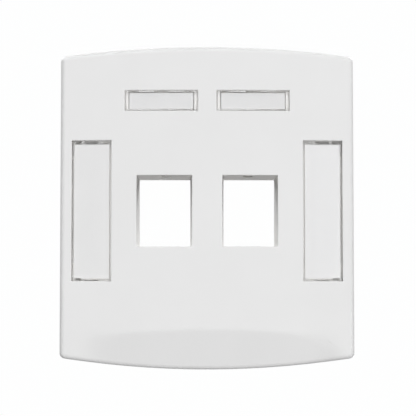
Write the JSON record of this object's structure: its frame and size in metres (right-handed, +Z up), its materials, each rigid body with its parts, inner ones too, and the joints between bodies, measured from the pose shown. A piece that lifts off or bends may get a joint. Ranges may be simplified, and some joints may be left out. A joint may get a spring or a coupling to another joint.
{
  "type": "wall plate",
  "caption": "White moulded wall plate for snap-in data modules, with open ports, clear label windows over blank cards and tall clear side covers over its fixing screws.",
  "frame": {"origin": "midway between the fixing screws, on the wall plane", "axes": "+X to the right seen from the front, +Y into the wall (the front faces -Y), +Z up"},
  "size_m": [0.0804, 0.0305, 0.0884],
  "materials": {
    "white_plastic": "white moulded plastic, fine satin texture",
    "clear_plastic": "clear moulded plastic, polished",
    "label_card": "blank white card",
    "zinc_steel": "zinc plated steel"
  },
  "bodies": {
    "plate": {"faceplate": "white_plastic", "fixing_screws": "zinc_steel"},
    "label_window_left": {"label_window_left": "clear_plastic", "label_card_left": "label_card"},
    "label_window_right": {"label_window_right": "clear_plastic", "label_card_right": "label_card"},
    "screw_cover_left": {"screw_cover_left": "clear_plastic", "side_label_left": "label_card"},
    "screw_cover_right": {"screw_cover_right": "clear_plastic", "side_label_right": "label_card"}
  },
  "joints": [
    {"name": "label_window_left_pull", "type": "slide", "parent": "plate", "child": "label_window_left", "axis": [0, -1, 0], "range_m": [0, 0.014]},
    {"name": "label_window_right_pull", "type": "slide", "parent": "plate", "child": "label_window_right", "axis": [0, -1, 0], "range_m": [0, 0.014]},
    {"name": "screw_cover_left_pull", "type": "slide", "parent": "plate", "child": "screw_cover_left", "axis": [0, -1, 0], "range_m": [0, 0.014]},
    {"name": "screw_cover_right_pull", "type": "slide", "parent": "plate", "child": "screw_cover_right", "axis": [0, -1, 0], "range_m": [0, 0.014]}
  ]
}
